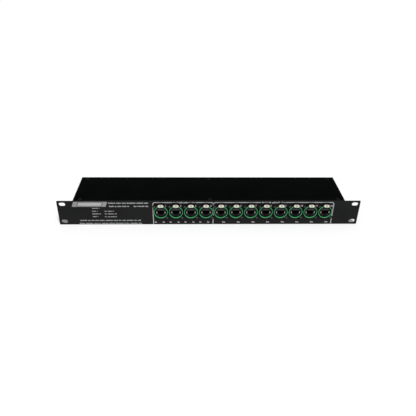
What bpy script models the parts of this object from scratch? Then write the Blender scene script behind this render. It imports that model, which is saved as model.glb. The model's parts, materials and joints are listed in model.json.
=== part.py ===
"""Rack-mounted ethernet patch panel with twelve locking RJ45 receptacles.

Metres, +Z up. The panel faces -Y and its width lies along X. The origin is
the centre of the whole object's footprint, on the surface it rests on.
Depths in this file are measured from the front face of the panel, positive
into the rack, until the last step places that face.
"""

import math

import bmesh
import bpy
from mathutils import Matrix, Vector

# Clearance between pieces that touch or pass through one another
GAP = 0.0003

# Front panel, one unit high, with a pair of rack slots at each end
PANEL_W = 0.4826
PANEL_H = 0.0437
PANEL_T = 0.0015
PANEL_CORNER_R = 0.0008
SLOT_INSET = 0.0083
SLOT_SPACING_Z = 0.03175
SLOT_LENGTH = 0.0100
SLOT_WIDTH = 0.0064
SLOT_CORNER_R = 0.00319

# Sheet metal box behind the panel
EAR_W = 0.0248
CHASSIS_REAR = 0.0810
SHEET_T = 0.0012
COVER_DROP = 0.0005
END_FLANGE_W = 0.0120
BOTTOM_LIP_H = 0.0080
TOP_FLANGE_W = 0.0140

# Countersunk screws that hold the cover
COVER_SCREW_SIDE_INSET = 0.0105
COVER_SCREW_INSET = 0.0062
SCREW_R = 0.0015
SCREW_HEAD_R = 0.0028
SCREW_LENGTH = 0.0030
SCREW_SOCKET_R = 0.0011
SCREW_SOCKET_DEPTH = 0.0008

# Row of receptacles
PORT_COUNT = 12
PORT_RIGHT_MARGIN = 0.0305
FLANGE_SPACING = 0.0005
HOUSING_HEADROOM = 0.00046

# Receptacle shell: flange, barrel, and the latch housing above the barrel
BORE_R = 0.0092
BORE_DEPTH = 0.0150
BARREL_WALL = 0.0012
BARREL_FLOOR_T = 0.0015
FLANGE_T = 0.0015
FLANGE_RIM = 0.0006
EAR_X = 0.0100
EAR_Z = 0.0101
EAR_R = 0.0030
EAR_HOLE_R = 0.0016
HOUSING_WALL = 0.0010
HOUSING_DEPTH = 0.0140
HOUSING_CORNER_R = 0.0032
ARCH_RIM = 0.0008
LATCH_BRIDGE = 0.00075

# Coloured ring, seated in the flange
RING_STEP = 0.0004
RING_W = 0.0013
RING_FIT = 0.00025
RING_SEAT_DEPTH = 0.0008
RING_PROUD = 0.0012

# Release latch, a lever on a cross pin
LATCH_TRAVEL_DEG = 6.5
LATCH_T = 0.0010
LATCH_ROOM = 0.00015
LATCH_STEM_W = 0.0060
LATCH_ARM_W = 0.0036
LATCH_TOOTH_W = 0.0030
LATCH_TOOTH_T = 0.0015
LATCH_TOOTH_PROUD = 0.0006
LATCH_ARM_L = 0.0070
HINGE_DEPTH = 0.0035
HINGE_PIN_R = 0.0011
HINGE_SEAT = 0.0006
LATCH_CAVITY_W = 0.0096
CAVITY_CORNER_R = 0.0011
PAD_W = 0.0106
PAD_TOP_W = 0.0046
PAD_FOOT_W = 0.0066
PAD_L = 0.0058
PAD_T = 0.0012
PAD_CORNER_R = 0.0010
PAD_SLOPE_DEG = 45.0
PAD_REACH = 0.0090
PAD_RISE = 0.0004

# RJ45 jack insert, an octagonal nose in front of a block on the board
NOSE_W = 0.0158
NOSE_H = 0.0140
NOSE_CHAMFER = 0.0032
NOSE_RECESS = 0.0004
JACK_W = 0.0118
JACK_H = 0.0067
JACK_TOP = 0.0029
JACK_DEPTH = 0.0130
CLIP_SLOT_W = 0.0064
CLIP_SLOT_H = 0.0020
BLOCK_W = 0.0160
BLOCK_H = 0.0140
BLOCK_L = 0.0130

# Circuit board and what carries it
BOARD_T = 0.0016
BOARD_DEPTH = 0.0440
BOARD_MARGIN = 0.0140
STANDOFF_R = 0.0030
STANDOFF_INSET = 0.0045
BOARD_SCREW_R = 0.00125
BOARD_SCREW_HEAD_R = 0.0025
BOARD_SCREW_HEAD_T = 0.0016
BOARD_SCREW_LENGTH = 0.0068
BOARD_SCREW_HOLE_DEPTH = 0.0080

# Number of flat sides that stand for a round one, and steps along an arc
LARGE_SIDES = 20
SMALL_SIDES = 8
HEX_SIDES = 6
CORNER_STEPS = 2
SLOT_CORNER_STEPS = 4
EAR_STEPS = 5

# Edges sharper than this stay sharp, and points closer than this are one
SHARP_DEG = 30
MERGE_DISTANCE = 0.000001

# Places on the panel and the box that follow from the sizes above
COVER_TOP = PANEL_H - COVER_DROP
COVER_BOTTOM = COVER_TOP - SHEET_T
TRAY_TOP = COVER_BOTTOM - GAP
CHASSIS_FRONT = PANEL_T + GAP
CHASSIS_HALF_W = PANEL_W / 2 - EAR_W
FLANGE_BOTTOM = TRAY_TOP - SHEET_T
SLOT_X = PANEL_W / 2 - SLOT_INSET
COVER_SCREW_X = CHASSIS_HALF_W - COVER_SCREW_SIDE_INSET

# Radii of the receptacle that follow from its bore
BARREL_R = BORE_R + BARREL_WALL
RING_IN_R = BORE_R + RING_STEP
RING_OUT_R = RING_IN_R + RING_W
RING_SEAT_R = RING_OUT_R + RING_FIT
FLANGE_R = RING_SEAT_R + FLANGE_RIM
FLANGE_BACK = -GAP
FLANGE_FACE = FLANGE_BACK - FLANGE_T
BARREL_BACK = BORE_DEPTH + BARREL_FLOOR_T

# Barrel and latch housing start inside the flange, each at its own depth
BARREL_START = FLANGE_FACE + FLANGE_T / 2
HOUSING_START = FLANGE_FACE + FLANGE_T / 3

# The latch lever swings in a cavity that leaves room for its travel
LATCH_TRAVEL = math.radians(LATCH_TRAVEL_DEG)
WINDOW_DROP = (HINGE_DEPTH - FLANGE_FACE) * math.sin(LATCH_TRAVEL) + LATCH_ROOM
ARM_LIFT = LATCH_ARM_L * math.sin(LATCH_TRAVEL) + 2 * LATCH_ROOM
CAVITY_FLOOR = RING_SEAT_R + LATCH_BRIDGE
HINGE_Z = CAVITY_FLOOR + WINDOW_DROP + LATCH_T / 2
CAVITY_TOP = HINGE_Z + LATCH_T / 2 + ARM_LIFT
CAVITY_BACK = HOUSING_DEPTH - HOUSING_WALL
HOUSING_TOP = CAVITY_TOP + HOUSING_WALL
HOUSING_HALF_W = LATCH_CAVITY_W / 2 + HOUSING_WALL

# Middle of the pad's outer face, and how far forward of the panel it reaches
PAD_DEPTH = HINGE_DEPTH - PAD_REACH
PAD_Z = HINGE_Z + PAD_RISE
PAD_SLOPE = math.radians(PAD_SLOPE_DEG)
FOREMOST = PAD_DEPTH - PAD_L / 2 * math.cos(PAD_SLOPE)

# Jack insert places
NOSE_FRONT = FLANGE_FACE + NOSE_RECESS
BLOCK_FRONT = BARREL_BACK + GAP
BLOCK_BACK = BLOCK_FRONT + BLOCK_L

# Places of the receptacles
PORT_Z = FLANGE_BOTTOM - HOUSING_HEADROOM - HOUSING_TOP
PORT_PITCH = 2 * FLANGE_R + FLANGE_SPACING
LAST_PORT_X = CHASSIS_HALF_W - PORT_RIGHT_MARGIN
FIRST_PORT_X = LAST_PORT_X - (PORT_COUNT - 1) * PORT_PITCH

# Board and standoff places
BOARD_TOP = PORT_Z - BLOCK_H / 2 - GAP
BOARD_BOTTOM = BOARD_TOP - BOARD_T
BOARD_FRONT = BARREL_BACK + 2 * GAP
BOARD_BACK = BOARD_FRONT + BOARD_DEPTH
BOARD_LEFT = FIRST_PORT_X - BOARD_MARGIN
BOARD_RIGHT = LAST_PORT_X + BOARD_MARGIN
STANDOFF_TOP = BOARD_BOTTOM - GAP
STANDOFF_DEPTH = BOARD_BACK - STANDOFF_INSET
STANDOFF_XS = (BOARD_LEFT + STANDOFF_INSET, BOARD_RIGHT - STANDOFF_INSET)

# Depth of the panel's front face once the whole object is centred
FACE_Y = -(CHASSIS_REAR + FOREMOST) / 2

# Cutters run past a wall by this much on each side
OVERCUT = 0.002

# Colour, roughness and metallic value of each finish
FINISHES = {
    "panel_paint": ((0.024, 0.024, 0.026), 0.55, 0.0),
    "chassis_paint": ((0.006, 0.006, 0.007), 0.50, 0.0),
    "cover_paint": ((0.006, 0.006, 0.007), 0.50, 0.0),
    "receptacle_black": ((0.010, 0.010, 0.011), 0.45, 0.0),
    "ring_green": ((0.030, 0.330, 0.110), 0.40, 0.0),
    "latch_nickel": ((0.720, 0.700, 0.640), 0.28, 1.0),
    "jack_plastic": ((0.012, 0.012, 0.013), 0.50, 0.0),
    "board_green": ((0.010, 0.110, 0.045), 0.45, 0.0),
    "screw_black": ((0.060, 0.060, 0.065), 0.35, 1.0),
}


def clear_scene():
    for obj in list(bpy.data.objects):
        bpy.data.objects.remove(obj, do_unlink=True)


def add_collection(name):
    made = bpy.data.collections.new(name)
    bpy.context.scene.collection.children.link(made)
    return made


def finish(name):
    """The material of this name, made the first time it is asked for."""
    made = bpy.data.materials.get(name)
    if made:
        return made
    colour, roughness, metallic = FINISHES[name]
    made = bpy.data.materials.new(name)
    made.use_nodes = True
    shader = made.node_tree.nodes["Principled BSDF"]
    shader.inputs["Base Color"].default_value = (*colour, 1.0)
    shader.inputs["Roughness"].default_value = roughness
    shader.inputs["Metallic"].default_value = metallic
    return made


def helper(name, mesh):
    """An object that shapes others and is left out of the finished part."""
    obj = bpy.data.objects.new(name, mesh)
    obj.hide_render = True
    obj.display_type = "WIRE"
    cutters.objects.link(obj)
    return obj


def box(name, x, y, z):
    """A box between the low and high value on each axis."""
    shape = bmesh.new()
    bmesh.ops.create_cube(shape, size=1.0)
    size = Vector((x[1] - x[0], y[1] - y[0], z[1] - z[0]))
    middle = Vector((x[0] + x[1], y[0] + y[1], z[0] + z[1])) / 2
    bmesh.ops.scale(shape, vec=size, verts=shape.verts)
    bmesh.ops.translate(shape, vec=middle, verts=shape.verts)
    mesh = bpy.data.meshes.new(name)
    shape.to_mesh(mesh)
    shape.free()
    return helper(name, mesh)


def rod(name, radius, start, end, sides=LARGE_SIDES, end_radius=None):
    """A round bar, or a cone, from one point to another."""
    start = Vector(start)
    end = Vector(end)
    along = end - start
    turn = Vector((0, 0, 1)).rotation_difference(along).to_matrix().to_4x4()
    shape = bmesh.new()
    bmesh.ops.create_cone(
        shape,
        cap_ends=True,
        segments=sides,
        radius1=radius,
        radius2=radius if end_radius is None else end_radius,
        depth=along.length,
        matrix=Matrix.Translation((start + end) / 2) @ turn,
    )
    mesh = bpy.data.meshes.new(name)
    shape.to_mesh(mesh)
    shape.free()
    return helper(name, mesh)


def arc(centre, radius, start_deg, end_deg, steps):
    """Points along an arc, both ends included."""
    points = []
    for step in range(steps + 1):
        angle = math.radians(start_deg + (end_deg - start_deg) * step / steps)
        points.append((centre[0] + radius * math.cos(angle), centre[1] + radius * math.sin(angle)))
    return points


def rounded_outline(corners, radius, steps=CORNER_STEPS):
    """Outline whose corners, listed anticlockwise, are arcs of one radius."""
    points = []
    for index, corner in enumerate(corners):
        corner = Vector(corner)
        before = (Vector(corners[index - 1]) - corner).normalized()
        after = (Vector(corners[(index + 1) % len(corners)]) - corner).normalized()
        half_angle = before.angle(after) / 2
        centre = corner + (before + after).normalized() * radius / math.sin(half_angle)
        start = math.degrees(math.atan2(before.x, -before.y))
        points += arc(centre, radius, start, start + 180 - 2 * math.degrees(half_angle), steps)
    return points


def rounded_rectangle(x, z, radius, steps=CORNER_STEPS):
    """Outline of a rectangle whose four corners are arcs."""
    corners = [(x[0], z[0]), (x[1], z[0]), (x[1], z[1]), (x[0], z[1])]
    return rounded_outline(corners, radius, steps)


def plate(name, outline, y):
    """A flat outline in X and Z, extruded between two depths."""
    curve = bpy.data.curves.new(name, "CURVE")
    curve.dimensions = "2D"
    curve.fill_mode = "BOTH"
    curve.extrude = (y[1] - y[0]) / 2
    spline = curve.splines.new("POLY")
    spline.points.add(len(outline) - 1)
    spline.use_cyclic_u = True
    for point, (across, up) in zip(spline.points, outline):
        point.co = (across, up, 0, 1)
    flat = helper(name + "_outline", curve)
    upright = Matrix.Rotation(math.radians(90), 4, "X")
    place = Matrix.Translation((0, (y[0] + y[1]) / 2, 0)) @ upright
    graph = bpy.context.evaluated_depsgraph_get()
    mesh = bpy.data.meshes.new_from_object(flat.evaluated_get(graph))
    bpy.data.objects.remove(flat, do_unlink=True)
    shape = bmesh.new()
    shape.from_mesh(mesh)
    bmesh.ops.remove_doubles(shape, verts=shape.verts, dist=MERGE_DISTANCE)
    bmesh.ops.transform(shape, matrix=place, verts=shape.verts)
    bmesh.ops.recalc_face_normals(shape, faces=shape.faces)
    shape.to_mesh(mesh)
    shape.free()
    mesh.name = name
    return helper(name, mesh)


def combine(target, operation, *tools, solver="EXACT"):
    """Adds a Boolean to the target for each tool."""
    for tool in tools:
        step = target.modifiers.new(tool.name, "BOOLEAN")
        step.operation = operation
        step.solver = solver
        step.object = tool


def shaped_mesh(obj, name):
    """The object's mesh after its modifiers, with points that meet merged."""
    graph = bpy.context.evaluated_depsgraph_get()
    mesh = bpy.data.meshes.new_from_object(obj.evaluated_get(graph))
    shape = bmesh.new()
    shape.from_mesh(mesh)
    bmesh.ops.remove_doubles(shape, verts=shape.verts, dist=MERGE_DISTANCE)
    shape.to_mesh(mesh)
    shape.free()
    mesh.name = name
    return mesh


def piece(name, mesh, finish_name, parent=None, place=(0, 0, 0)):
    """A finished piece of the part, shaded smooth except at its edges."""
    if not mesh.materials:
        mesh.materials.append(finish(finish_name))
        mesh.shade_smooth()
        mesh.set_sharp_from_angle(angle=math.radians(SHARP_DEG))
    obj = bpy.data.objects.new(name, mesh)
    obj.location = place
    obj.parent = parent
    parts.objects.link(obj)
    return obj


def ear_bar_outline():
    """A bar with round ends, from the upper left screw to the lower right one."""
    slope = math.degrees(math.atan2(-EAR_Z, EAR_X))
    return arc((EAR_X, -EAR_Z), EAR_R, slope - 90, slope + 90, EAR_STEPS) + arc(
        (-EAR_X, EAR_Z), EAR_R, slope + 90, slope + 270, EAR_STEPS
    )


def housing_outline(margin):
    """Latch housing, widened by the margin, down into the barrel."""
    half = HOUSING_HALF_W + margin
    top = HOUSING_TOP + margin
    radius = HOUSING_CORNER_R + margin
    shoulders = arc((half - radius, top - radius), radius, 0, 90, CORNER_STEPS) + arc(
        (radius - half, top - radius), radius, 90, 180, CORNER_STEPS
    )
    return [(half, 0)] + shoulders + [(-half, 0)]


def nose_outline(margin):
    """Octagon of the jack's nose, widened by the margin."""
    half_w = NOSE_W / 2 + margin
    half_h = NOSE_H / 2 + margin
    cut = NOSE_CHAMFER + margin * (2 - math.sqrt(2))
    return [
        (half_w, -half_h + cut),
        (half_w, half_h - cut),
        (half_w - cut, half_h),
        (-half_w + cut, half_h),
        (-half_w, half_h - cut),
        (-half_w, -half_h + cut),
        (-half_w + cut, -half_h),
        (half_w - cut, -half_h),
    ]


def receptacle_shell():
    """Flange, barrel and latch housing as one moulding, in the port's own frame."""
    shell = rod("shell_flange", FLANGE_R, (0, FLANGE_FACE, 0), (0, FLANGE_BACK, 0))
    ears = plate("shell_ears", ear_bar_outline(), (FLANGE_FACE, FLANGE_BACK))
    arch = plate("shell_arch", housing_outline(ARCH_RIM), (FLANGE_FACE, FLANGE_BACK))
    barrel = rod("shell_barrel", BARREL_R, (0, BARREL_START, 0), (0, BARREL_BACK, 0))
    housing = plate("shell_housing", housing_outline(0), (HOUSING_START, HOUSING_DEPTH))
    combine(shell, "UNION", ears, arch, barrel, housing, solver="MANIFOLD")
    front = FLANGE_FACE - OVERCUT
    bore = rod("shell_bore", BORE_R, (0, front, 0), (0, BORE_DEPTH, 0))
    seat = rod("shell_ring_seat", RING_SEAT_R, (0, front, 0), (0, FLANGE_FACE + RING_SEAT_DEPTH, 0))
    floor_hole = plate("shell_floor_hole", nose_outline(GAP), (BORE_DEPTH - OVERCUT, BARREL_BACK + OVERCUT))
    half_cavity = LATCH_CAVITY_W / 2
    cavity = plate(
        "shell_latch_cavity",
        rounded_rectangle((-half_cavity, half_cavity), (CAVITY_FLOOR, CAVITY_TOP), CAVITY_CORNER_R),
        (front, CAVITY_BACK),
    )
    tooth_back = HINGE_DEPTH + LATCH_ARM_L + 2 * GAP
    tooth_front = HINGE_DEPTH + LATCH_ARM_L - LATCH_TOOTH_T - 2 * GAP
    half_slot = LATCH_TOOTH_W / 2 + GAP
    tooth_slot = box(
        "shell_tooth_slot",
        (-half_slot, half_slot),
        (tooth_front, tooth_back),
        (BORE_R - OVERCUT, CAVITY_FLOOR + LATCH_ROOM),
    )
    pin_reach = HOUSING_HALF_W + OVERCUT
    pin_hole = rod(
        "shell_pin_hole",
        HINGE_PIN_R + GAP,
        (-pin_reach, HINGE_DEPTH, HINGE_Z),
        (pin_reach, HINGE_DEPTH, HINGE_Z),
        SMALL_SIDES,
    )
    combine(shell, "DIFFERENCE", bore, seat, floor_hole, cavity, tooth_slot, pin_hole, solver="MANIFOLD")
    for side in (-1, 1):
        hole = rod(
            "shell_ear_hole",
            EAR_HOLE_R,
            (side * EAR_X, front, -side * EAR_Z),
            (side * EAR_X, FLANGE_BACK + OVERCUT, -side * EAR_Z),
            SMALL_SIDES,
        )
        combine(shell, "DIFFERENCE", hole, solver="MANIFOLD")
    return shaped_mesh(shell, "receptacle_shell")


def receptacle_ring():
    """A turned band with a square section, from the groove to just proud of the flange."""
    front = FLANGE_FACE - RING_PROUD
    back = FLANGE_FACE + RING_SEAT_DEPTH - GAP
    section = ((RING_IN_R, front), (RING_IN_R, back), (RING_OUT_R, back), (RING_OUT_R, front))
    mesh = bpy.data.meshes.new("ring_section")
    points = [(radius, depth, 0) for radius, depth in section]
    edges = [(index, (index + 1) % len(points)) for index in range(len(points))]
    mesh.from_pydata(points, edges, [])
    band = helper("ring_section", mesh)
    turn = band.modifiers.new("turn", "SCREW")
    turn.axis = "Y"
    turn.steps = LARGE_SIDES
    turn.render_steps = LARGE_SIDES
    turn.use_merge_vertices = True
    turn.merge_threshold = MERGE_DISTANCE
    turned = shaped_mesh(band, "receptacle_ring")
    shape = bmesh.new()
    shape.from_mesh(turned)
    bmesh.ops.recalc_face_normals(shape, faces=shape.faces)
    shape.to_mesh(turned)
    shape.free()
    return turned


def pad_outline():
    """Six-sided thumb pad, widest half way up."""
    corners = [
        (-PAD_FOOT_W / 2, -PAD_L / 2),
        (PAD_FOOT_W / 2, -PAD_L / 2),
        (PAD_W / 2, 0),
        (PAD_TOP_W / 2, PAD_L / 2),
        (-PAD_TOP_W / 2, PAD_L / 2),
        (-PAD_W / 2, 0),
    ]
    return rounded_outline(corners, PAD_CORNER_R)


def release_latch():
    """Lever with a sloping thumb pad in front, a cross pin, and a tooth behind."""
    half_t = LATCH_T / 2
    pad = plate("latch_pad", pad_outline(), (0, PAD_T))
    lean = Matrix.Rotation(-PAD_SLOPE, 4, "X")
    pad.data.transform(Matrix.Translation((0, PAD_DEPTH, PAD_Z)) @ lean)
    stem = box(
        "latch_stem",
        (-LATCH_STEM_W / 2, LATCH_STEM_W / 2),
        (PAD_DEPTH + PAD_T / 2, HINGE_DEPTH),
        (HINGE_Z - half_t, HINGE_Z + half_t),
    )
    pin_reach = LATCH_CAVITY_W / 2 + HINGE_SEAT
    pin = rod(
        "latch_pin",
        HINGE_PIN_R,
        (-pin_reach, HINGE_DEPTH, HINGE_Z),
        (pin_reach, HINGE_DEPTH, HINGE_Z),
        SMALL_SIDES,
    )
    arm_end = HINGE_DEPTH + LATCH_ARM_L
    arm = box(
        "latch_arm",
        (-LATCH_ARM_W / 2, LATCH_ARM_W / 2),
        (HINGE_DEPTH, arm_end),
        (HINGE_Z - half_t, HINGE_Z + half_t),
    )
    tooth = box(
        "latch_tooth",
        (-LATCH_TOOTH_W / 2, LATCH_TOOTH_W / 2),
        (arm_end - LATCH_TOOTH_T, arm_end),
        (BORE_R - LATCH_TOOTH_PROUD, HINGE_Z),
    )
    combine(pad, "UNION", stem, pin, arm, tooth)
    mesh = shaped_mesh(pad, "release_latch")
    mesh.transform(Matrix.Translation((0, -HINGE_DEPTH, -HINGE_Z)))
    return mesh


def jack_insert():
    """Octagonal nose with the jack opening and its clip slot, joined to the rear block."""
    nose = plate("jack_nose", nose_outline(0), (NOSE_FRONT, BLOCK_FRONT + BLOCK_L / 2))
    block = box(
        "jack_block",
        (-BLOCK_W / 2, BLOCK_W / 2),
        (BLOCK_FRONT, BLOCK_BACK),
        (-BLOCK_H / 2, BLOCK_H / 2),
    )
    combine(nose, "UNION", block)
    jack_bottom = JACK_TOP - JACK_H
    mouth = (NOSE_FRONT - OVERCUT, NOSE_FRONT + JACK_DEPTH)
    opening = box("jack_opening", (-JACK_W / 2, JACK_W / 2), mouth, (jack_bottom, JACK_TOP))
    half_clip = CLIP_SLOT_W / 2
    clip_z = (jack_bottom - CLIP_SLOT_H, jack_bottom + OVERCUT)
    clip_slot = box("jack_clip_slot", (-half_clip, half_clip), mouth, clip_z)
    combine(nose, "DIFFERENCE", opening, clip_slot)
    return shaped_mesh(nose, "jack_insert")


def panel_keyhole():
    """Cutter for one receptacle: barrel and latch housing, both with clearance."""
    through = (-OVERCUT, PANEL_T + OVERCUT)
    hole = rod("keyhole", BARREL_R + GAP, (0, through[0], 0), (0, through[1], 0))
    notch = plate("keyhole_notch", housing_outline(GAP), through)
    combine(hole, "UNION", notch)
    return shaped_mesh(hole, "panel_keyhole")


def front_panel():
    panel = plate(
        "panel_blank",
        rounded_rectangle((-PANEL_W / 2, PANEL_W / 2), (0, PANEL_H), PANEL_CORNER_R),
        (0, PANEL_T),
    )
    keyhole = panel_keyhole()
    through = (-OVERCUT, PANEL_T + OVERCUT)
    for x in port_xs():
        cutter = helper("panel_cutout", keyhole)
        cutter.location = (x, 0, PORT_Z)
        combine(panel, "DIFFERENCE", cutter)
        for side in (-1, 1):
            at = (x + side * EAR_X, PORT_Z - side * EAR_Z)
            hole = rod(
                "panel_screw_hole",
                EAR_HOLE_R,
                (at[0], through[0], at[1]),
                (at[0], through[1], at[1]),
                SMALL_SIDES,
            )
            combine(panel, "DIFFERENCE", hole)
    for across in (-SLOT_X, SLOT_X):
        for up in (PANEL_H / 2 - SLOT_SPACING_Z / 2, PANEL_H / 2 + SLOT_SPACING_Z / 2):
            slot = plate(
                "rack_slot",
                rounded_rectangle(
                    (across - SLOT_LENGTH / 2, across + SLOT_LENGTH / 2),
                    (up - SLOT_WIDTH / 2, up + SLOT_WIDTH / 2),
                    SLOT_CORNER_R,
                    SLOT_CORNER_STEPS,
                ),
                through,
            )
            combine(panel, "DIFFERENCE", slot)
    return shaped_mesh(panel, "front_panel")


def cover_screw_places():
    """Name, distance across and depth of each screw in the cover."""
    front = CHASSIS_FRONT + COVER_SCREW_INSET
    rear = CHASSIS_REAR - COVER_SCREW_INSET
    for row, depth in (("front", front), ("rear", rear)):
        for side, across in (("left", -1), ("centre", 0), ("right", 1)):
            yield f"cover_screw_{row}_{side}", across * COVER_SCREW_X, depth


def chassis_tray():
    """Floor, sides, rear wall and the flanges that the panel and cover seat on."""
    inner_half_w = CHASSIS_HALF_W - SHEET_T
    tray = box(
        "tray_outside",
        (-CHASSIS_HALF_W, CHASSIS_HALF_W),
        (CHASSIS_FRONT, CHASSIS_REAR),
        (0, TRAY_TOP),
    )
    hollow = box(
        "tray_hollow",
        (-inner_half_w, inner_half_w),
        (CHASSIS_FRONT + SHEET_T, CHASSIS_REAR - SHEET_T),
        (SHEET_T, FLANGE_BOTTOM),
    )
    open_top = box(
        "tray_open_top",
        (-inner_half_w, inner_half_w),
        (CHASSIS_FRONT + TOP_FLANGE_W, CHASSIS_REAR - TOP_FLANGE_W),
        (FLANGE_BOTTOM - SHEET_T, TRAY_TOP + OVERCUT),
    )
    open_half_w = inner_half_w - END_FLANGE_W
    open_front = box(
        "tray_open_front",
        (-open_half_w, open_half_w),
        (CHASSIS_FRONT - OVERCUT, CHASSIS_FRONT + SHEET_T + OVERCUT),
        (BOTTOM_LIP_H, FLANGE_BOTTOM),
    )
    combine(tray, "DIFFERENCE", hollow, open_top, open_front)
    for x in STANDOFF_XS:
        standoff = rod(
            "tray_standoff",
            STANDOFF_R,
            (x, STANDOFF_DEPTH, SHEET_T / 2),
            (x, STANDOFF_DEPTH, STANDOFF_TOP),
            SMALL_SIDES,
        )
        combine(tray, "UNION", standoff)
        screw_hole = rod(
            "tray_standoff_hole",
            BOARD_SCREW_R + GAP,
            (x, STANDOFF_DEPTH, BOARD_TOP - BOARD_SCREW_HOLE_DEPTH),
            (x, STANDOFF_DEPTH, STANDOFF_TOP + OVERCUT),
            SMALL_SIDES,
        )
        combine(tray, "DIFFERENCE", screw_hole)
    for name, x, depth in cover_screw_places():
        hole = rod(
            name + "_flange_hole",
            SCREW_R + GAP,
            (x, depth, FLANGE_BOTTOM - OVERCUT),
            (x, depth, TRAY_TOP + OVERCUT),
            SMALL_SIDES,
        )
        combine(tray, "DIFFERENCE", hole)
    return shaped_mesh(tray, "chassis_tray")


def top_cover():
    """Flat lid with a countersunk hole over each flange hole."""
    cover = box(
        "cover_blank",
        (-CHASSIS_HALF_W, CHASSIS_HALF_W),
        (CHASSIS_FRONT, CHASSIS_REAR),
        (COVER_BOTTOM, COVER_TOP),
    )
    for name, x, depth in cover_screw_places():
        sink = rod(
            name + "_countersink",
            SCREW_R + GAP,
            (x, depth, COVER_TOP - (SCREW_HEAD_R - SCREW_R)),
            (x, depth, COVER_TOP + OVERCUT),
            SMALL_SIDES,
            end_radius=SCREW_HEAD_R + GAP + OVERCUT,
        )
        shank = rod(
            name + "_cover_hole",
            SCREW_R + GAP,
            (x, depth, COVER_BOTTOM - OVERCUT),
            (x, depth, COVER_TOP),
            SMALL_SIDES,
        )
        combine(cover, "DIFFERENCE", sink, shank)
    return shaped_mesh(cover, "top_cover")


def cover_screw():
    """Countersunk screw with a hexagon socket, its head flush at its own origin."""
    head_depth = SCREW_HEAD_R - SCREW_R
    head = rod("screw_head", SCREW_R, (0, 0, -head_depth), (0, 0, 0), SMALL_SIDES, SCREW_HEAD_R)
    shank = rod("screw_shank", SCREW_R, (0, 0, -SCREW_LENGTH), (0, 0, -head_depth / 2), SMALL_SIDES)
    socket = rod("screw_socket", SCREW_SOCKET_R, (0, 0, -SCREW_SOCKET_DEPTH), (0, 0, OVERCUT), HEX_SIDES)
    combine(head, "UNION", shank)
    combine(head, "DIFFERENCE", socket)
    return shaped_mesh(head, "cover_screw")


def circuit_board():
    board = box(
        "board_blank",
        (BOARD_LEFT, BOARD_RIGHT),
        (BOARD_FRONT, BOARD_BACK),
        (BOARD_BOTTOM, BOARD_TOP),
    )
    for x in STANDOFF_XS:
        hole = rod(
            "board_hole",
            BOARD_SCREW_R + GAP,
            (x, STANDOFF_DEPTH, BOARD_BOTTOM - OVERCUT),
            (x, STANDOFF_DEPTH, BOARD_TOP + OVERCUT),
            SMALL_SIDES,
        )
        combine(board, "DIFFERENCE", hole)
    return shaped_mesh(board, "circuit_board")


def board_screw():
    """Pan-head screw, its origin on the face of the board."""
    head = rod(
        "board_screw_head",
        BOARD_SCREW_HEAD_R,
        (0, 0, GAP),
        (0, 0, GAP + BOARD_SCREW_HEAD_T),
        SMALL_SIDES,
    )
    shank = rod(
        "board_screw_shank",
        BOARD_SCREW_R,
        (0, 0, -BOARD_SCREW_LENGTH),
        (0, 0, GAP + BOARD_SCREW_HEAD_T / 2),
        SMALL_SIDES,
    )
    combine(head, "UNION", shank)
    return shaped_mesh(head, "board_screw")


def port_xs():
    return [FIRST_PORT_X + index * PORT_PITCH for index in range(PORT_COUNT)]


def add_empty(name, parent, place):
    empty = bpy.data.objects.new(name, None)
    empty.location = place
    empty.parent = parent
    parts.objects.link(empty)
    return empty


def add_ports(face):
    """One empty for each receptacle, carrying its four pieces."""
    shell = receptacle_shell()
    ring = receptacle_ring()
    latch = release_latch()
    insert = jack_insert()
    for number, x in enumerate(port_xs(), start=1):
        name = f"port_{number:02d}"
        port = add_empty(name, face, (x, 0, PORT_Z))
        piece(name + "_shell", shell, "receptacle_black", port)
        piece(name + "_ring", ring, "ring_green", port)
        piece(name + "_latch", latch, "latch_nickel", port, (0, HINGE_DEPTH, HINGE_Z))
        piece(name + "_insert", insert, "jack_plastic", port)


def add_chassis(face):
    piece("front_panel", front_panel(), "panel_paint", face)
    piece("chassis_tray", chassis_tray(), "chassis_paint", face)
    piece("top_cover", top_cover(), "cover_paint", face)
    piece("circuit_board", circuit_board(), "board_green", face)
    screw = cover_screw()
    for name, x, depth in cover_screw_places():
        piece(name, screw, "screw_black", face, (x, depth, COVER_TOP))
    screw = board_screw()
    for side, x in zip(("left", "right"), STANDOFF_XS):
        piece(f"board_screw_{side}", screw, "screw_black", face, (x, STANDOFF_DEPTH, BOARD_TOP))


def remove_helpers():
    """The finished meshes hold their shapes, so the helpers can go."""
    for obj in list(cutters.objects):
        bpy.data.objects.remove(obj, do_unlink=True)
    bpy.data.collections.remove(cutters)


clear_scene()
parts = add_collection("ethernet_patch_panel")
cutters = add_collection("cutters")
panel_face = add_empty("panel_face", None, (0, FACE_Y, 0))
add_ports(panel_face)
add_chassis(panel_face)
remove_helpers()
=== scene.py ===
"""Looks of a rack-mounted ethernet patch panel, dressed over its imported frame.

Shapes are written in millimetres. A place on the panel is across from its
middle, into the rack from its front face, and up from its bottom edge. A
place on a receptacle is measured the same way from the middle of its ring.
"""

import json
import math

import bmesh
import bpy
from mathutils import Matrix, Vector


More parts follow.
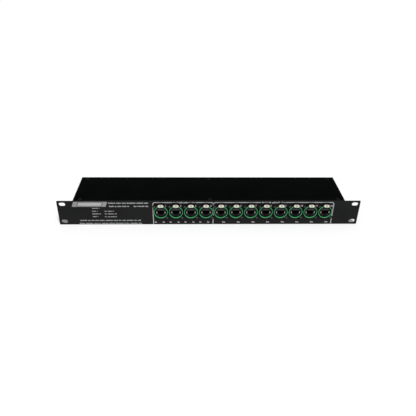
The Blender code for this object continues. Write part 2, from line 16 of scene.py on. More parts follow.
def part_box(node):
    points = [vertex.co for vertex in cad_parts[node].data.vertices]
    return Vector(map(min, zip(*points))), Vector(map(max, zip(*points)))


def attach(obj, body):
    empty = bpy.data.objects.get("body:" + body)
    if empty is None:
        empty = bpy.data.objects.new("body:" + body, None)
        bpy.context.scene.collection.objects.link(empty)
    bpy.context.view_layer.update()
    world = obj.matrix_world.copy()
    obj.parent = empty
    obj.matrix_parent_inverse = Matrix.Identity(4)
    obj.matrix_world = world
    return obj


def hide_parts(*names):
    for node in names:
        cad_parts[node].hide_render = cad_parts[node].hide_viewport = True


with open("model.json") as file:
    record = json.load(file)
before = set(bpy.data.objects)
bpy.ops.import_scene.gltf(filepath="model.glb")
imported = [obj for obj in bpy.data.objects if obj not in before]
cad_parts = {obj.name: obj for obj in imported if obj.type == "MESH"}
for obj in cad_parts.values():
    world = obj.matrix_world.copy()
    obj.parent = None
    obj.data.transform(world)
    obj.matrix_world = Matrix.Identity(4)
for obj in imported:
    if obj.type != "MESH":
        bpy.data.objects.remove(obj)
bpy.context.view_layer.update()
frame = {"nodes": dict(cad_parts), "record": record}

MM = 0.001

# Bodies that the pieces ride on
CHASSIS = "chassis"
LATCH_BODY = "latch_{:02d}"
PORT_COUNT = 12
PORT_NUMBERS = range(1, PORT_COUNT + 1)

# Points nearer than the weld become one. Surfaces of one piece that would
# coincide stand a seam apart.
WELD = 0.0005
SEAM = 0.03
EDGE_STEPS = 2
ROUND_PROFILE = 0.5
SHARP_ANGLE = math.radians(32)

# Turns that stand a flat outline up to face the front, and that point the
# depth of a turned shape down
UPRIGHT = Matrix.Rotation(math.radians(90), 4, "X")
ON_END = Matrix.Rotation(math.radians(-90), 4, "X")

# Finishes: colour, roughness, metallic, specular level, then how much the
# colour and the roughness vary, the size of the grain and its relief in
# millimetres, and how far the grain is drawn out along each axis
FINISHES = {
    "panel_paint": dict(colour=(0.0128, 0.0136, 0.0131), roughness=0.62, specular=0.04,
                        tone=0.30, spread=0.10, grain=0.45, relief=0.020),
    "chassis_paint": dict(colour=(0.0025, 0.0032, 0.0030), roughness=0.66, specular=0.004,
                          tone=0.30, spread=0.08, grain=0.50, relief=0.016),
    # Painted shade: the lid's paint is made far darker than the panel's so that its top face looks
    # shaded
    "cover_paint": dict(colour=(0.0018, 0.0024, 0.0022), roughness=0.66, specular=0.002,
                        tone=0.35, spread=0.08, grain=0.50, relief=0.016),
    "receptacle_black": dict(colour=(0.0035, 0.0036, 0.0037), roughness=0.42, specular=0.06,
                             tone=0.25, spread=0.08, grain=0.25, relief=0.006),
    "ring_green": dict(colour=(0.055, 0.350, 0.135), roughness=0.45, specular=0.30,
                       tone=0.10, spread=0.08, grain=0.60, relief=0.003),
    "latch_nickel": dict(colour=(0.80, 0.765, 0.685), roughness=0.36, metallic=1.0,
                         specular=0.5, tone=0.06, spread=0.07, grain=0.22, relief=0.003,
                         stretch=(0.08, 1.0, 1.0)),
    # Painted shade: a dark filling that darkens the latch pad's grooves
    "painted_groove_shade": dict(colour=(0.10, 0.09, 0.075), roughness=0.60, specular=0.20,
                      tone=0.20, spread=0.08, grain=0.20, relief=0.003),
    "jack_plastic": dict(colour=(0.0066, 0.0066, 0.0070), roughness=0.36, specular=0.26,
                         tone=0.25, spread=0.08, grain=0.30, relief=0.004),
    "jack_lip": dict(colour=(0.055, 0.055, 0.057), roughness=0.40, metallic=1.0,
                     specular=0.5, tone=0.12, spread=0.08, grain=0.25, relief=0.003,
                     stretch=(0.1, 1.0, 1.0)),
    "jack_metal": dict(colour=(0.56, 0.54, 0.53), roughness=0.30, metallic=1.0,
                       specular=0.5, tone=0.08, spread=0.08, grain=0.25, relief=0.002,
                       stretch=(1.0, 1.0, 0.1)),
    "contact_gold": dict(colour=(0.78, 0.55, 0.20), roughness=0.25, metallic=1.0,
                         specular=0.5, tone=0.08, spread=0.06, grain=0.30, relief=0.001),
    "board_green": dict(colour=(0.010, 0.110, 0.045), roughness=0.40, specular=0.5,
                        tone=0.25, spread=0.08, grain=1.60, relief=0.010),
    "cover_screw": dict(colour=(0.0030, 0.0032, 0.0032), roughness=0.50, specular=0.03,
                        tone=0.25, spread=0.10, grain=0.20, relief=0.004),
    "screw_black": dict(colour=(0.0060, 0.0060, 0.0064), roughness=0.40, specular=0.20,
                        tone=0.25, spread=0.10, grain=0.20, relief=0.004),
    "recess_steel": dict(colour=(0.15, 0.148, 0.145), roughness=0.40, metallic=1.0,
                         specular=0.5, tone=0.12, spread=0.08, grain=0.20, relief=0.002),
    "panel_print": dict(colour=(0.41, 0.41, 0.41), roughness=0.60, specular=0.20,
                        tone=0.10, spread=0.06, grain=0.35, relief=0.004),
    "plate_print": dict(colour=(0.27, 0.27, 0.265), roughness=0.50, specular=0.25,
                        tone=0.12, spread=0.08, grain=0.40, relief=0.004,
                        stretch=(0.1, 1.0, 1.0)),
}

# Noise of every finish: its fine grain, a slow change of tone and that
# change's share, and the range of the noise that is put to use
FINE_DETAIL = 3.0
FINE_ROUGHNESS = 0.6
BROAD_SCALE = 22.0
BROAD_DETAIL = 2.0
BROAD_ROUGHNESS = 0.5
BROAD_SHARE = 0.35
RAMP_LOW = 0.30
RAMP_HIGH = 0.70
BUMP_STRENGTH = 0.6

# Front panel. The slots' ends are round but for a short flat.
PANEL_CORNER_R = 1.2
PANEL_EDGE = 0.12
SLOT_LENGTH = 10.0
SLOT_WIDTH = 6.4
SLOT_FLAT = 0.01
SLOT_STEPS = 10

# Box behind the panel
SHEET_T = 1.2
BEND_R = 0.9
BEND_STEPS = 4
FACING = 0.9
BOTTOM_LIP_H = 8.0
END_FLANGE_W = 12.0
TOP_FLANGE_W = 14.0
COVER_GAP = 0.3
SHEET_EDGE = 0.2
STANDOFF_R = 3.0

# Cover screws and their countersinks
SCREW_HEAD_R = 2.8
SCREW_HEAD_EASE = 0.15
SCREW_HEAD_LAND = 0.12
SCREW_R = 1.5
SCREW_LENGTH = 3.0
SCREW_TIP = 0.3
SCREW_SOCKET_R = 1.1
SCREW_SOCKET_DEPTH = 0.9
SOCKET_BORE_SHARE = 1.12
SOCKET_RING_SHARE = 1.18
SINK_R = 3.1
SINK_START = 0.05
SINK_DEPTH = 1.15
SINK_OVERLAP = 0.1

# Receptacle shell
FLANGE_R = 11.75
FLANGE_FRONT = -1.8
FLANGE_BACK = -0.3
FLANGE_EDGE = 0.25
SEAT_R = 11.15
SEAT_BACK = -1.0
BORE_R = 9.2
BARREL_R = 10.4
BARREL_BACK = 16.5
BARREL_EDGE = 0.4
EAR_X = 10.0
EAR_Z = 10.1
EAR_R = 3.0
EAR_HOLE_R = 1.6
HOUSING_HALF_W = 5.8
HOUSING_TOP = 15.74
HOUSING_FOOT = 0.7
HOUSING_R = 3.2
HOUSING_BACK = 14.0
HOUSING_WALL = 1.0
ARCH_RIM = 0.8
WINDOW_HALF_W = 4.8
WINDOW_FLOOR = 11.9
WINDOW_TOP = 14.74
WINDOW_R = 1.1
PANEL_HOLE_GAP = 0.3

# Coloured ring
RING_IN_R = 10.1
RING_OUT_R = 10.9
RING_FRONT = -3.0
RING_BACK = -1.05
RING_EDGE = 0.35

# Release latch
HINGE_DEPTH = 3.5
HINGE_Z = 13.15
PIN_R = 1.1
PIN_REACH = 5.4
PIN_EDGE = 0.15
LATCH_T = 1.0
LATCH_EDGE = 0.2
STEM_W = 6.0
ARM_W = 3.6
ARM_END = 10.5
TOOTH_W = 3.0
TOOTH_T = 1.5
TOOTH_FOOT = 8.6
PAD_DEPTH = -5.76
PAD_Z = 13.45
PAD_SLOPE = math.radians(45)
PAD_W = 10.5
PAD_TOP_W = 4.4
PAD_FOOT_W = 6.0
PAD_BELLY = 0.5
PAD_L = 4.35
PAD_T = 1.2
PAD_CORNER_R = 1.3
PAD_EDGE = 0.35
GROOVE_L = 4.0
GROOVE_W = 0.42
GROOVE_DEPTH = 0.35
GROOVE_PITCH = 1.0
GROOVE_ROWS = (-1, 0, 1)
GROOVE_STEP = 0.6
GROOVE_SKIN = 0.3
GROOVE_ROUND_SHARE = 0.4
# Painted shade in the grooves, a dark filling: how much narrower than a groove it is, where its
# face sits as a share of the groove's depth, and how far it reaches past the groove's bottom
GROOVE_SHADE_GAP = 0.04
GROOVE_SHADE_FACE_SHARE = 0.6
GROOVE_SHADE_ROOT = 0.05

# Jack insert
NOSE_W = 15.8
NOSE_H = 14.0
NOSE_CUT = 3.2
NOSE_R = 0.5
NOSE_FRONT = -1.4
NOSE_EDGE = 0.4
NOSE_ROOT = 1.0
JACK_W = 11.8
JACK_TOP = 2.9
JACK_BOTTOM = -3.8
CLIP_W = 6.4
CLIP_BOTTOM = -5.8
JACK_BACK = 11.6
BACK_WALL_RIM = 0.5
BACK_WALL_FOOT = 0.3
BLOCK_W = 16.0
BLOCK_H = 14.0
BLOCK_FRONT = 16.8
BLOCK_BACK = 29.8
BLOCK_EDGE = 0.3
LIP_W = 10.2
LIP_BOTTOM = 3.1
LIP_TOP = 5.3
LIP_PROUD = 0.3
LIP_ROOT = 0.5
LIP_EDGE = 0.25
SHIELD_X = 6.6
SHIELD_W = 0.85
SHIELD_LOW = -2.8
SHIELD_HIGH = 0.7
SHIELD_ROOT = 0.1
SHIELD_BULGE = 0.55
SHIELD_T = 0.2
SHIELD_STEPS = 10
CONTACT_COUNT = 8
CONTACT_PITCH = 1.02
CONTACT_T = 0.35
CONTACT_FRONT = 2.4
CONTACT_BACK = 10.0
CONTACT_HIGH = 0.3
CONTACT_LOW = 3.2

# Screws that hold the receptacles. The head is a flat disc in a collar, whose
# corners are given outwards from the disc's rim and down from its top.
FIXING_R = 2.6
FIXING_H = 1.1
FIXING_EDGE = 0.075
FIXING_ROOT = 0.1
FIXING_FLOOR_R = 2.3
COLLAR = (
    (-0.5, -0.18), (-0.05, 0.25), (0.12, FIXING_H),
    (-0.6, FIXING_H), (-0.9, 0.1), (-0.9, -0.1),
)
SHANK_R = 1.35
SHANK_BACK = 4.5
SHANK_EDGE = 0.2
CROSS_L = 2.9
CROSS_W = 0.7
CROSS_DEPTH = 0.7
RECESS_DEPTH = 0.3
RECESS_GAP = 0.04

# Print on the panel: rules round the two groups of ports, port numbers, and
# plain bars in the places of words
INK_T = 0.06
INK_ROOT = 0.02
RULE_W = 1.3
RULE_TOP = 41.1
RULE_LEFT = -90.6
RULE_MIDDLE = 5.7
RULE_RIGHT = 198.7
RULE_R = 3.6
RULE_STEPS = 8
HEADINGS = ((-57.8, -24.3), (83.2, 119.9))
HEADING_GAP = 1.6
NUMBER_SIZE = 4.3
NUMBER_WEIGHT = 0.20
NUMBER_STEPS = 9
NUMBER_Z = 34.6
NUMBER_X = 7.4
TWO_FIGURE_X = 9.3
MARK_Z = 4.25
MARK_H = 2.5
MARK_BARS = 4
INPUT_PORTS = 4
INPUT_MARKS = ((-8.9, 2.9), (4.5, 4.2))
OUTPUT_MARK = (5.2, 5.2)
WORD_GAP = 1.3
BAR_PITCH = 0.68
BAR_SHARE = 0.72
BAR_HEIGHTS = (1.0, 0.74, 0.74, 1.0, 0.74, 0.74, 0.9)
PLATE_X = (-216.6, -163.4)
PLATE_Z = (33.5, 42.5)
PLATE_SLANT = 0.34
PLATE_INSET = 1.0
PLATE_FIELD_X = (-208.6, -171.0)
PLATE_FIELD_INSET = 1.6
PLATE_CORNER_R = 0.6

# Lines of print: left and right end, height of the line's middle, height of
# its bars, and how many bars each word has
TEXT_LINES = {
    "title": (
        (-160.3, -97.4, 40.2, 2.3, (7, 5, 4, 9)),
        (-159.6, -128.0, 34.3, 2.3, (5, 2, 4, 4)),
        (-120.6, -96.9, 34.3, 2.3, (3, 7)),
    ),
    "table": (
        (-186.6, -174.3, 30.7, 1.6, (9,)),
        (-187.1, -178.4, 25.2, 1.6, (6,)),
        (-187.2, -174.3, 20.3, 1.6, (9,)),
        (-187.0, -177.8, 15.2, 1.6, (6,)),
        (-167.2, -152.4, 25.2, 1.6, (3, 6)),
        (-167.4, -148.2, 20.2, 1.6, (3, 9)),
        (-167.9, -148.7, 14.8, 1.6, (3, 3, 6)),
    ),
    "notice": (
        (-207.9, -109.1, 7.8, 2.0, (8, 3, 4, 4, 6, 9, 5, 3, 4)),
        (-209.2, -108.5, 2.0, 2.0, (6, 9, 5, 2, 8, 7, 9)),
    ),
    "heading": (
        (*HEADINGS[0], RULE_TOP, 2.7, (8, 6)),
        (*HEADINGS[1], RULE_TOP, 2.7, (8, 7)),
    ),
}

# Camera: where it stands from the middle of the panel's bottom edge, how it
# is turned, and its focal length in pixels of the square image
CAMERA_PLACE = Vector((-25.85, -637.98, 427.54))
CAMERA_YAW = 0.0360
CAMERA_PITCH = 0.5559
CAMERA_ROLL = 0.0177
FOCAL_PIXELS = 470.96
IMAGE_PIXELS = 416
SENSOR_MM = 36.0
CLIP_START = 0.01

# Studio, in metres
FLOOR_SIZE = 6.0
FLOOR_DROP = 0.0002
FLOOR_WHITE = 0.90
FLOOR_GLOW = 0.07
SKY_LIGHT = 0.28
SKY_WHITE = 1.0
SUN_LIGHT = 2.85
SUN_HEIGHT = math.radians(60)
SUN_SIDE = math.radians(15)
SUN_SPREAD = math.radians(20)
SUN_DISTANCE = 2.0


def node_span(node):
    """Low and high corner of a CAD node in millimetres, from the panel's face."""
    low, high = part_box(node)
    return (low - FACE) / MM, (high - FACE) / MM


PANEL_CORNER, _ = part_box("front_panel")
FACE = Vector((0.0, PANEL_CORNER.y, 0.0))
PANEL_LOW, PANEL_HIGH = node_span("front_panel")
OPENINGS = {o["name"]: o["box_m"] for o in frame["record"]["physics"]["openings"]}


def node_middle(node):
    low, high = node_span(node)
    return (low + high) / 2


def port_middle(number):
    """Middle of a port's ring, across and up, on the panel's front face."""
    low, high = node_span(f"port_{number:02d}_ring")
    return Vector(((low.x + high.x) / 2, 0.0, (low.z + high.z) / 2))


def opening_middle(name):
    low, high = OPENINGS[name]
    return (Vector(low) + Vector(high)) / 2 / MM


# Outlines are lists of points across and up


def arc(middle, radius, start_deg, end_deg, steps):
    points = []
    for step in range(steps + 1):
        angle = math.radians(start_deg + (end_deg - start_deg) * step / steps)
        points.append((middle[0] + radius * math.cos(angle), middle[1] + radius * math.sin(angle)))
    return points


def circle(middle, radius, sides):
    return arc(middle, radius, 0, 360 - 360 / sides, sides - 1)


def rounded(corners, radius, steps=6):
    """An anticlockwise outline with each of its outer corners turned into an arc."""
    points = []
    for index, corner in enumerate(corners):
        corner = Vector(corner)
        before = (Vector(corners[index - 1]) - corner).normalized()
        after = (Vector(corners[(index + 1) % len(corners)]) - corner).normalized()
        half_angle = before.angle(after) / 2
        middle = corner + (before + after).normalized() * radius / math.sin(half_angle)
        start = math.degrees(math.atan2(before.x, -before.y))
        points += arc(middle, radius, start, start + 180 - 2 * math.degrees(half_angle), steps)
    return points


def centred(width):
    """Two values as far apart as the width, one on each side of the middle."""
    return (-width / 2, width / 2)


def rectangle(x, z, radius=0.0, steps=6):
    corners = [(x[0], z[0]), (x[1], z[0]), (x[1], z[1]), (x[0], z[1])]
    return rounded(corners, radius, steps) if radius else corners


def moved(outline, across, up):
    return [(x + across, z + up) for x, z in outline]


def capsule_reach(across, up):
    """How far the bar between the two ears reaches in this direction."""
    length = math.hypot(EAR_X, EAR_Z)
    along = abs(EAR_X * across - EAR_Z * up) / length
    aside = abs(EAR_Z * across + EAR_X * up) / length
    if length * aside < EAR_R:
        return length * along + math.sqrt(EAR_R**2 - (length * aside) ** 2)
    return EAR_R / aside


def arch_reach(across, up, margin):
    """How far the latch housing, widened by the margin, reaches in this direction."""
    if up <= 0:
        return 0.0
    half = HOUSING_HALF_W + margin
    top = HOUSING_TOP + margin
    radius = HOUSING_R + margin
    reach = min(top / up, half / abs(across) if across else top / up)
    corner = Vector((half - radius, top - radius))
    if reach * abs(across) > corner.x and reach * up > corner.y:
        toward = corner.x * abs(across) + corner.y * up
        reach = toward + math.sqrt(radius**2 - corner.length_squared + toward**2)
    return reach


def reach_outline(*reaches, steps):
    """Outline of shapes joined round a middle, from how far each one reaches."""
    points = []
    for step in range(steps):
        angle = 2 * math.pi * step / steps
        across, up = math.cos(angle), math.sin(angle)
        reach = max(one(across, up) for one in reaches)
        points.append((reach * across, reach * up))
    return points


def flange_outline():
    return reach_outline(
        lambda across, up: FLANGE_R,
        capsule_reach,
        lambda across, up: arch_reach(across, up, ARCH_RIM),
        steps=240,
    )


def keyhole_outline():
    """Cut-out of the panel for a receptacle's barrel and latch housing."""
    return reach_outline(
        lambda across, up: BARREL_R + PANEL_HOLE_GAP,
        lambda across, up: arch_reach(across, up, PANEL_HOLE_GAP),
        steps=120,
    )


def ear_holes(sides):
    """A screw hole in each ear of a receptacle, the left one up and the right one down."""
    return [circle((side * EAR_X, -side * EAR_Z), EAR_HOLE_R, sides) for side in (-1, 1)]


# Solids are bmesh shapes in millimetres


def shape_of(curve):
    """The welded mesh of a curve, which is used up."""
    flat = bpy.data.objects.new(curve.name, curve)
    bpy.context.scene.collection.objects.link(flat)
    graph = bpy.context.evaluated_depsgraph_get()
    mesh = bpy.data.meshes.new_from_object(flat.evaluated_get(graph))
    shape = bmesh.new()
    shape.from_mesh(mesh)
    bpy.data.objects.remove(flat, do_unlink=True)
    bpy.data.curves.remove(curve)
    bpy.data.meshes.remove(mesh)
    bmesh.ops.remove_doubles(shape, verts=shape.verts, dist=WELD)
    return shape


def extruded(outlines, thickness, edge=0.0):
    """Flat outlines, the first one outside and the others holes, made thick, with rounded edges."""
    curve = bpy.data.curves.new("outline", "CURVE")
    curve.dimensions = "2D"
    curve.fill_mode = "BOTH"
    curve.extrude = thickness / 2 - edge
    curve.bevel_depth = edge
    curve.bevel_resolution = EDGE_STEPS
    curve.offset = -edge
    for index, outline in enumerate(outlines):
        points = outline if index == 0 else list(reversed(outline))
        spline = curve.splines.new("POLY")
        spline.points.add(len(points) - 1)
        spline.use_cyclic_u = True
        for point, (across, up) in zip(spline.points, points):
            point.co = (across, up, 0, 1)
    shape = shape_of(curve)
    bmesh.ops.recalc_face_normals(shape, faces=shape.faces)
    return shape


def changed(shape, matrix):
    bmesh.ops.transform(shape, matrix=matrix, verts=shape.verts)
    return shape


def plate(outlines, front, back, edge=0.0):
    """Outlines across and up, extruded between two depths."""
    place = Matrix.Translation((0, (front + back) / 2, 0)) @ UPRIGHT
    return changed(extruded(outlines, back - front, edge), place)


def slab(outlines, bottom, top, edge=0.0):
    """Outlines across and deep, extruded between two heights."""
    place = Matrix.Translation((0, 0, (bottom + top) / 2))
    return changed(extruded(outlines, top - bottom, edge), place)


def ease(shape, edges, radius, steps):
    """Round some edges of a shape."""
    bmesh.ops.bevel(
        shape,
        geom=edges,
        offset=radius,
        offset_type="OFFSET",
        segments=steps,
        profile=ROUND_PROFILE,
        affect="EDGES",
    )


def block(x, y, z, edge=0.0):
    """A box between two values on each axis, with rounded edges."""
    shape = bmesh.new()
    bmesh.ops.create_cube(shape, size=1.0)
    size = Vector((x[1] - x[0], y[1] - y[0], z[1] - z[0]))
    middle = Vector((x[0] + x[1], y[0] + y[1], z[0] + z[1])) / 2
    changed(shape, Matrix.Translation(middle) @ Matrix.Diagonal((*size, 1.0)))
    if edge:
        ease(shape, shape.edges[:], edge, EDGE_STEPS)
    return shape


def turned(profile, sides):
    """A closed profile of radius and depth, turned about the line into the rack."""
    shape = bmesh.new()
    rings = []
    for side in range(sides):
        angle = 2 * math.pi * side / sides
        across, up = math.cos(angle), math.sin(angle)
        rings.append([
            shape.verts.new((radius * across, depth, radius * up))
            for radius, depth in profile
        ])
    for side in range(sides):
        here, there = rings[side], rings[(side + 1) % sides]
        for index in range(len(profile)):
            following = (index + 1) % len(profile)
            shape.faces.new((here[index], there[index], there[following], here[following]))
    bmesh.ops.remove_doubles(shape, verts=shape.verts, dist=WELD)
    bmesh.ops.dissolve_degenerate(shape, edges=shape.edges, dist=WELD)
    bmesh.ops.recalc_face_normals(shape, faces=shape.faces)
    return shape


def rod(radius, start, end, sides=24, edge=0.0):
    """A round bar with eased ends, from one point to another."""
    start, end = Vector(start), Vector(end)
    along = end - start
    profile = [(0, 0), (radius - edge, 0), (radius, edge), (radius, along.length - edge)]
    profile += [(radius - edge, along.length), (0, along.length)]
    turn = Vector((0, 1, 0)).rotation_difference(along).to_matrix().to_4x4()
    return changed(turned(profile, sides), Matrix.Translation(start) @ turn)


def joined(name, shapes):
    """One mesh in metres of several shapes, smooth except at its edges."""
    mesh = bpy.data.meshes.new(name)
    whole = bmesh.new()
    for shape in shapes:
        shape.to_mesh(mesh)
        shape.free()
        whole.from_mesh(mesh)
    changed(whole, Matrix.Scale(MM, 4))
    whole.to_mesh(mesh)
    whole.free()
    mesh.shade_smooth()
    mesh.set_sharp_from_angle(angle=SHARP_ANGLE)
    return mesh


# Finishes


def add_node(tree, kind, **values):
    """A node with some of its settings and inputs given by name."""
    node = tree.nodes.new(kind)
    for name, value in values.items():
        if hasattr(node, name):
            setattr(node, name, value)
        else:
            node.inputs[name].default_value = value
    return node


def finish(name):
    """The procedural material of this name, made the first time it is asked for."""
    made = bpy.data.materials.get("finish_" + name)
    return made or make_finish(name, **FINISHES[name])


def make_finish(name, colour, roughness, specular, tone, spread, grain, relief,
                metallic=0.0, stretch=(1.0, 1.0, 1.0)):
    made = bpy.data.materials.new("finish_" + name)
    made.use_nodes = True
    tree = made.node_tree
    link = tree.links.new
    shader = tree.nodes["Principled BSDF"]
    shader.inputs["Metallic"].default_value = metallic
    shader.inputs["Specular IOR Level"].default_value = specular
    where = add_node(tree, "ShaderNodeTexCoord")
    drawn = add_node(tree, "ShaderNodeMapping", Scale=stretch)
    link(where.outputs["Object"], drawn.inputs["Vector"])
    fine = add_node(tree, "ShaderNodeTexNoise", Scale=1 / (grain * MM), Detail=FINE_DETAIL,
                    Roughness=FINE_ROUGHNESS)
    link(drawn.outputs["Vector"], fine.inputs["Vector"])
    broad = add_node(tree, "ShaderNodeTexNoise", Scale=BROAD_SCALE, Detail=BROAD_DETAIL,
                     Roughness=BROAD_ROUGHNESS)
    link(where.outputs["Object"], broad.inputs["Vector"])
    blend = add_node(tree, "ShaderNodeMix", data_type="FLOAT", Factor=BROAD_SHARE)
    link(fine.outputs["Fac"], blend.inputs["A"])
    link(broad.outputs["Fac"], blend.inputs["B"])
    ramp = add_node(tree, "ShaderNodeValToRGB")
    for element, position, share in zip(
        ramp.color_ramp.elements, (RAMP_LOW, RAMP_HIGH), (1 - tone, 1 + tone)
    ):
        element.position = position
        element.color = (*[min(1.0, c * share) for c in colour], 1.0)
    link(blend.outputs["Result"], ramp.inputs["Fac"])
    link(ramp.outputs["Color"], shader.inputs["Base Color"])
    gloss = add_node(tree, "ShaderNodeMapRange")
    gloss.inputs["From Min"].default_value = RAMP_LOW
    gloss.inputs["From Max"].default_value = RAMP_HIGH
    gloss.inputs["To Min"].default_value = roughness - spread
    gloss.inputs["To Max"].default_value = roughness + spread
    link(fine.outputs["Fac"], gloss.inputs["Value"])
    link(gloss.outputs["Result"], shader.inputs["Roughness"])
    bump = add_node(tree, "ShaderNodeBump", Strength=BUMP_STRENGTH, Distance=relief * MM)
    link(fine.outputs["Fac"], bump.inputs["Height"])
    link(bump.outputs["Normal"], shader.inputs["Normal"])
    return made


# Pieces


def add_piece(name, mesh, finish_name, body=CHASSIS, place=(0, 0, 0), replaces=()):
    """A visible piece, placed in millimetres from the panel's face, riding on a body."""
    if not mesh.materials:
        mesh.materials.append(finish(finish_name))
    piece = bpy.data.objects.new(name, mesh)
    bpy.context.scene.collection.objects.link(piece)
    piece.location = FACE + Vector(place) * MM
    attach(piece, body)
    if replaces:
        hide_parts(*replaces)
    return piece


def add_front_panel():
    """The sheet with its rack slots and the cut-outs behind the receptacles."""
    outlines = [
        rectangle((PANEL_LOW.x, PANEL_HIGH.x), (PANEL_LOW.z, PANEL_HIGH.z), PANEL_CORNER_R)
    ]
    slot_end = SLOT_WIDTH / 2 - SLOT_FLAT
    slot = rectangle(centred(SLOT_LENGTH), centred(SLOT_WIDTH), slot_end, SLOT_STEPS)
    for name in OPENINGS:
        if name.startswith("rack_slot"):
            middle = opening_middle(name)
            outlines.append(moved(slot, middle.x, middle.z))
    for number in PORT_NUMBERS:
        middle = port_middle(number)
        outlines.append(moved(keyhole_outline(), middle.x, middle.z))
        for hole in ear_holes(sides=16):
            outlines.append(moved(hole, middle.x, middle.z))
    sheet = plate(outlines, PANEL_LOW.y, PANEL_HIGH.y, PANEL_EDGE)
    add_piece("panel_sheet", joined("panel_sheet", [sheet]), "panel_paint",
              replaces=["front_panel"])


def is_open(face):
    """Whether a face of the box is its top or its front, which the tray leaves open."""
    return face.normal.z > FACING or face.normal.y < -FACING


def add_tray():
    """Folded sheet: floor, sides and rear wall, with flanges turned in at the front and top."""
    low, high = node_span("chassis_tray")
    folded = block((low.x, high.x), (low.y, high.y), (low.z, high.z))
    bends = [edge for edge in folded.edges if not any(is_open(face) for face in edge.link_faces)]
    ease(folded, bends, BEND_R, BEND_STEPS)
    open_faces = [face for face in folded.faces if is_open(face)]
    bmesh.ops.delete(folded, geom=open_faces, context="FACES")
    bmesh.ops.recalc_face_normals(folded, faces=folded.faces)
    bmesh.ops.solidify(folded, geom=folded.faces[:], thickness=SHEET_T)
    half_t = SHEET_T / 2
    inner = high.x - half_t
    lip_reach = inner - END_FLANGE_W / 2
    front_flange = (low.y, low.y + SHEET_T)
    shapes = [
        folded,
        block((-lip_reach, lip_reach), front_flange, (half_t, BOTTOM_LIP_H), SHEET_EDGE),
    ]
    for side in (-1, 1):
        ends = sorted((side * inner, side * (inner - END_FLANGE_W)))
        shapes.append(block(ends, front_flange, (half_t, high.z - half_t), SHEET_EDGE))
    top_flanges = (
        (low.y + half_t, low.y + TOP_FLANGE_W),
        (high.y - TOP_FLANGE_W, high.y - half_t),
    )
    for depths in top_flanges:
        shapes.append(block((-inner, inner), depths, (high.z - SHEET_T, high.z), SHEET_EDGE))
    board_low, _ = node_span("circuit_board")
    for side in ("left", "right"):
        foot = node_middle("board_screw_" + side).xy
        top = board_low.z - COVER_GAP
        shapes.append(rod(STANDOFF_R, (*foot, half_t), (*foot, top), edge=SHEET_EDGE))
    add_piece("tray_sheet", joined("tray_sheet", shapes), "chassis_paint",
              replaces=["chassis_tray"])


def cover_screw_nodes():
    return [node for node in sorted(frame["nodes"]) if node.startswith("cover_screw")]


def add_cover():
    """Flat lid with a countersunk hole for each screw."""
    low, high = node_span("top_cover")
    outlines = [rectangle((low.x, high.x), (low.y, high.y), SHEET_EDGE, steps=2)]
    sinks = []
    for node in cover_screw_nodes():
        middle = node_middle(node)
        outlines.append(circle((middle.x, middle.y), SINK_R, sides=32))
        cone = turned([
            (SINK_R + SINK_OVERLAP, SINK_START + SINK_OVERLAP),
            (SINK_R, SINK_START),
            (SCREW_R + COVER_GAP, SINK_DEPTH),
            (SINK_R + SINK_OVERLAP, SINK_DEPTH),
        ], sides=32)
        place = Matrix.Translation((middle.x, middle.y, high.z))
        sinks.append(changed(cone, place @ ON_END))
    lid = slab(outlines, low.z, high.z, SHEET_EDGE)
    # The lid's paint is darkened, painted shade on its top face
    add_piece("cover_sheet", joined("cover_sheet", [lid, *sinks]), "cover_paint",
              replaces=["top_cover"])


def add_cover_screws():
    """Countersunk heads with a hexagon socket."""
    bore_r = SCREW_SOCKET_R * SOCKET_BORE_SHARE
    head = turned([
        (bore_r, 0.0),
        (SCREW_HEAD_R - SCREW_HEAD_EASE, 0.0),
        (SCREW_HEAD_R, SCREW_HEAD_LAND),
        (SCREW_R, SCREW_HEAD_R - SCREW_R),
        (SCREW_R, SCREW_LENGTH - SCREW_TIP),
        (SCREW_R - SCREW_TIP, SCREW_LENGTH),
        (0.0, SCREW_LENGTH),
        (0.0, SCREW_SOCKET_DEPTH),
        (bore_r, SCREW_SOCKET_DEPTH),
    ], sides=32)
    rim = circle((0, 0), SCREW_SOCKET_R * SOCKET_RING_SHARE, sides=24)
    hexagon = circle((0, 0), SCREW_SOCKET_R, sides=6)
    ring = slab([rim, hexagon], -SCREW_SOCKET_DEPTH, 0.0)
    mesh = joined("cover_screw", [changed(head, ON_END), ring])
    for node in cover_screw_nodes():
        _, high = node_span(node)
        middle = node_middle(node)
        add_piece(node + "_head", mesh, "cover_screw",
                  place=(middle.x, middle.y, high.z), replaces=[node])


